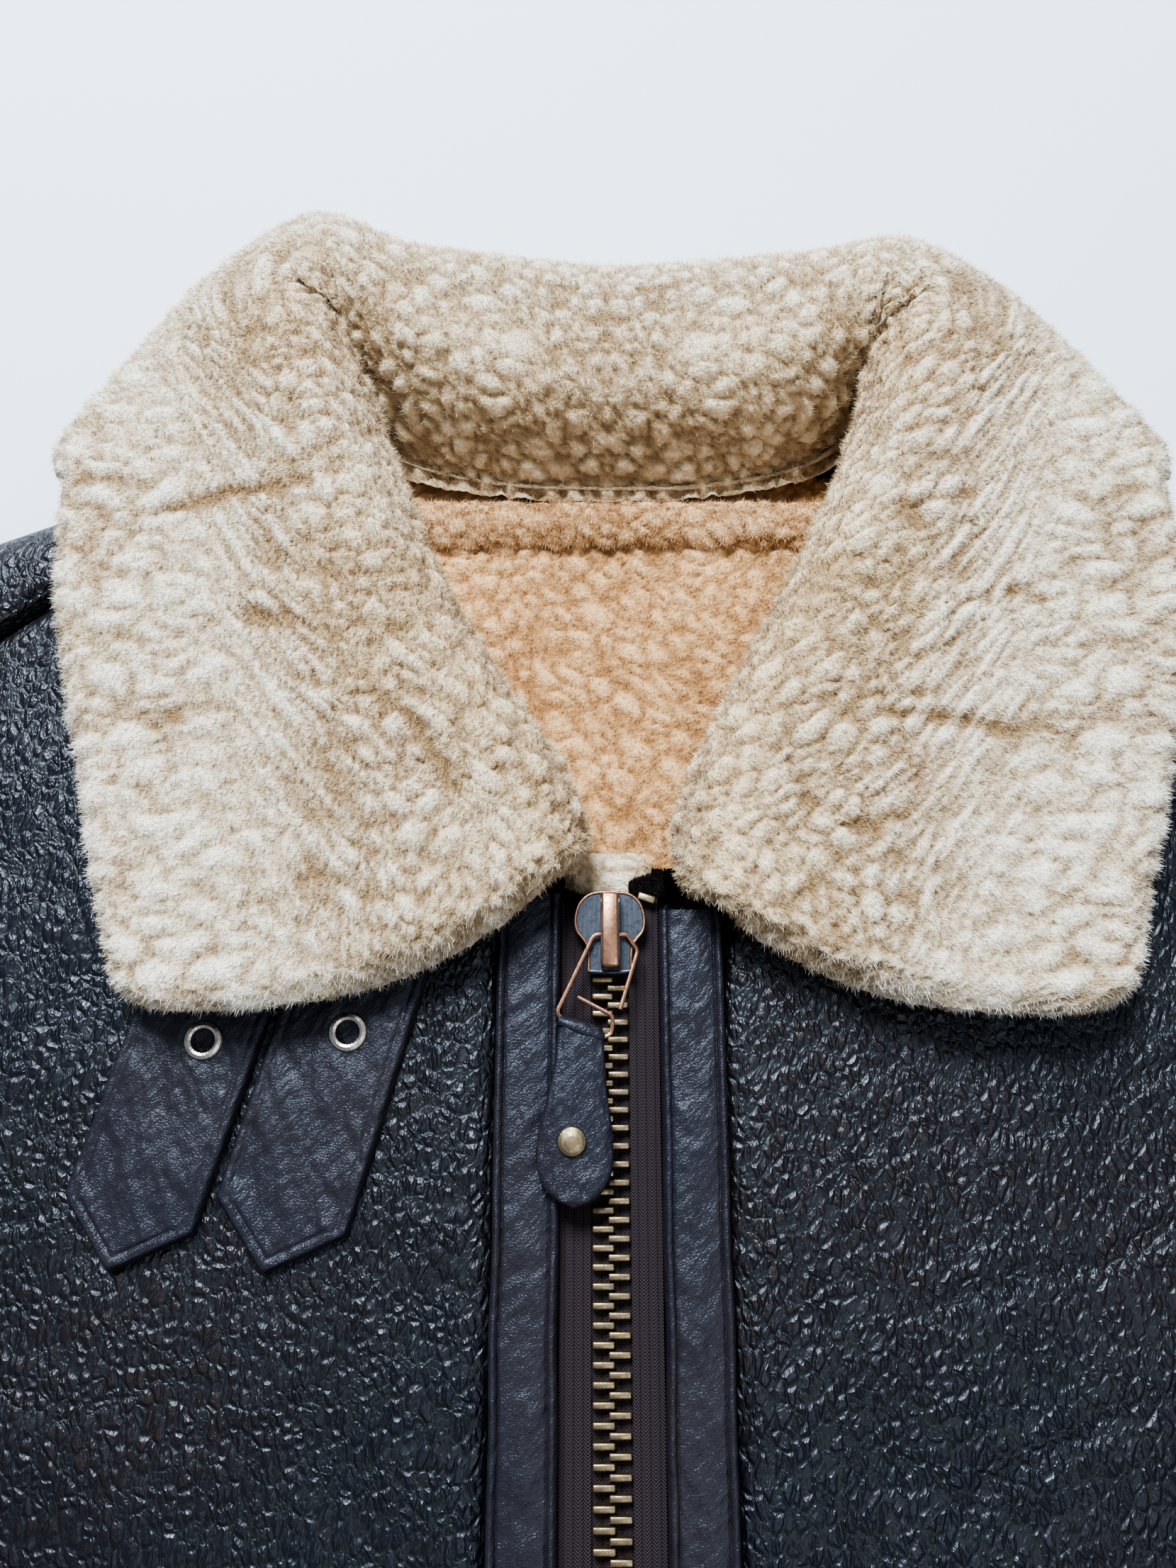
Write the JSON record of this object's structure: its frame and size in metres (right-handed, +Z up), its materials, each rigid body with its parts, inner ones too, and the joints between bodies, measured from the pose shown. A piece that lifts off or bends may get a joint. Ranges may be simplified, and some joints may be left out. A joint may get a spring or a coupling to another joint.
{
  "type": "sheepskin flying jacket",
  "caption": "Sheepskin flying jacket laid flat, front zipped to the neck, wide shearling collar folded open over dark grained leather, collar straps and metal zip pull.",
  "frame": {"origin": "on the surface it lies on, under the middle of its bounding box", "axes": "+X to the wearer's left, which is the right of the picture, +Y from the hem towards the collar, +Z up out of the jacket's front"},
  "size_m": [1.28, 0.721, 0.0537],
  "materials": {
    "leather": "pebbled near-black navy sheepskin leather, soft gloss",
    "smooth_leather": "smooth near-black navy leather, soft gloss",
    "wool": "cream sheared wool pile, tan in its depths",
    "zip_tape": "dark brown woven zip tape",
    "zip_brass": "aged brass, worn bright on the high edges",
    "gunmetal": "gunmetal plate worn to copper on its edges",
    "copper": "aged copper-coloured plating",
    "nickel": "dulled nickel"
  },
  "bodies": {
    "jacket": {"back": "leather", "neck_strip": "wool", "front_right": "leather", "front_left": "leather", "shoulder_right": "leather", "shoulder_left": "leather", "sleeve_right_upper": "leather", "sleeve_right_under": "leather", "sleeve_left_upper": "leather", "sleeve_left_under": "leather", "collar_right": "wool", "collar_left": "wool", "zip_strip_right": "smooth_leather", "zip_strip_left": "smooth_leather", "zip_tape_right": "zip_tape", "zip_tape_left": "zip_tape", "wind_flap": "wool", "zip_chain": "zip_brass", "zip_slider": "gunmetal", "strap_outer": "smooth_leather", "strap_inner": "smooth_leather", "eyelet_outer": "nickel", "eyelet_inner": "nickel"},
    "pull_wire": {"pull_wire": "copper"},
    "pull_tab": {"pull_tab": "smooth_leather", "pull_rivet": "zip_brass"}
  },
  "joints": [
    {"name": "wire_hinge", "type": "hinge", "parent": "jacket", "child": "pull_wire", "pos_m": [0, 0.16, 0.02875], "axis": [-1, 0, 0], "range_deg": [0, 100]},
    {"name": "tab_hinge", "type": "hinge", "parent": "pull_wire", "child": "pull_tab", "pos_m": [-0.00675, 0.137, 0.0305], "axis": [-0.9138, 0.4061, 0], "range_deg": [0, 70]}
  ]
}
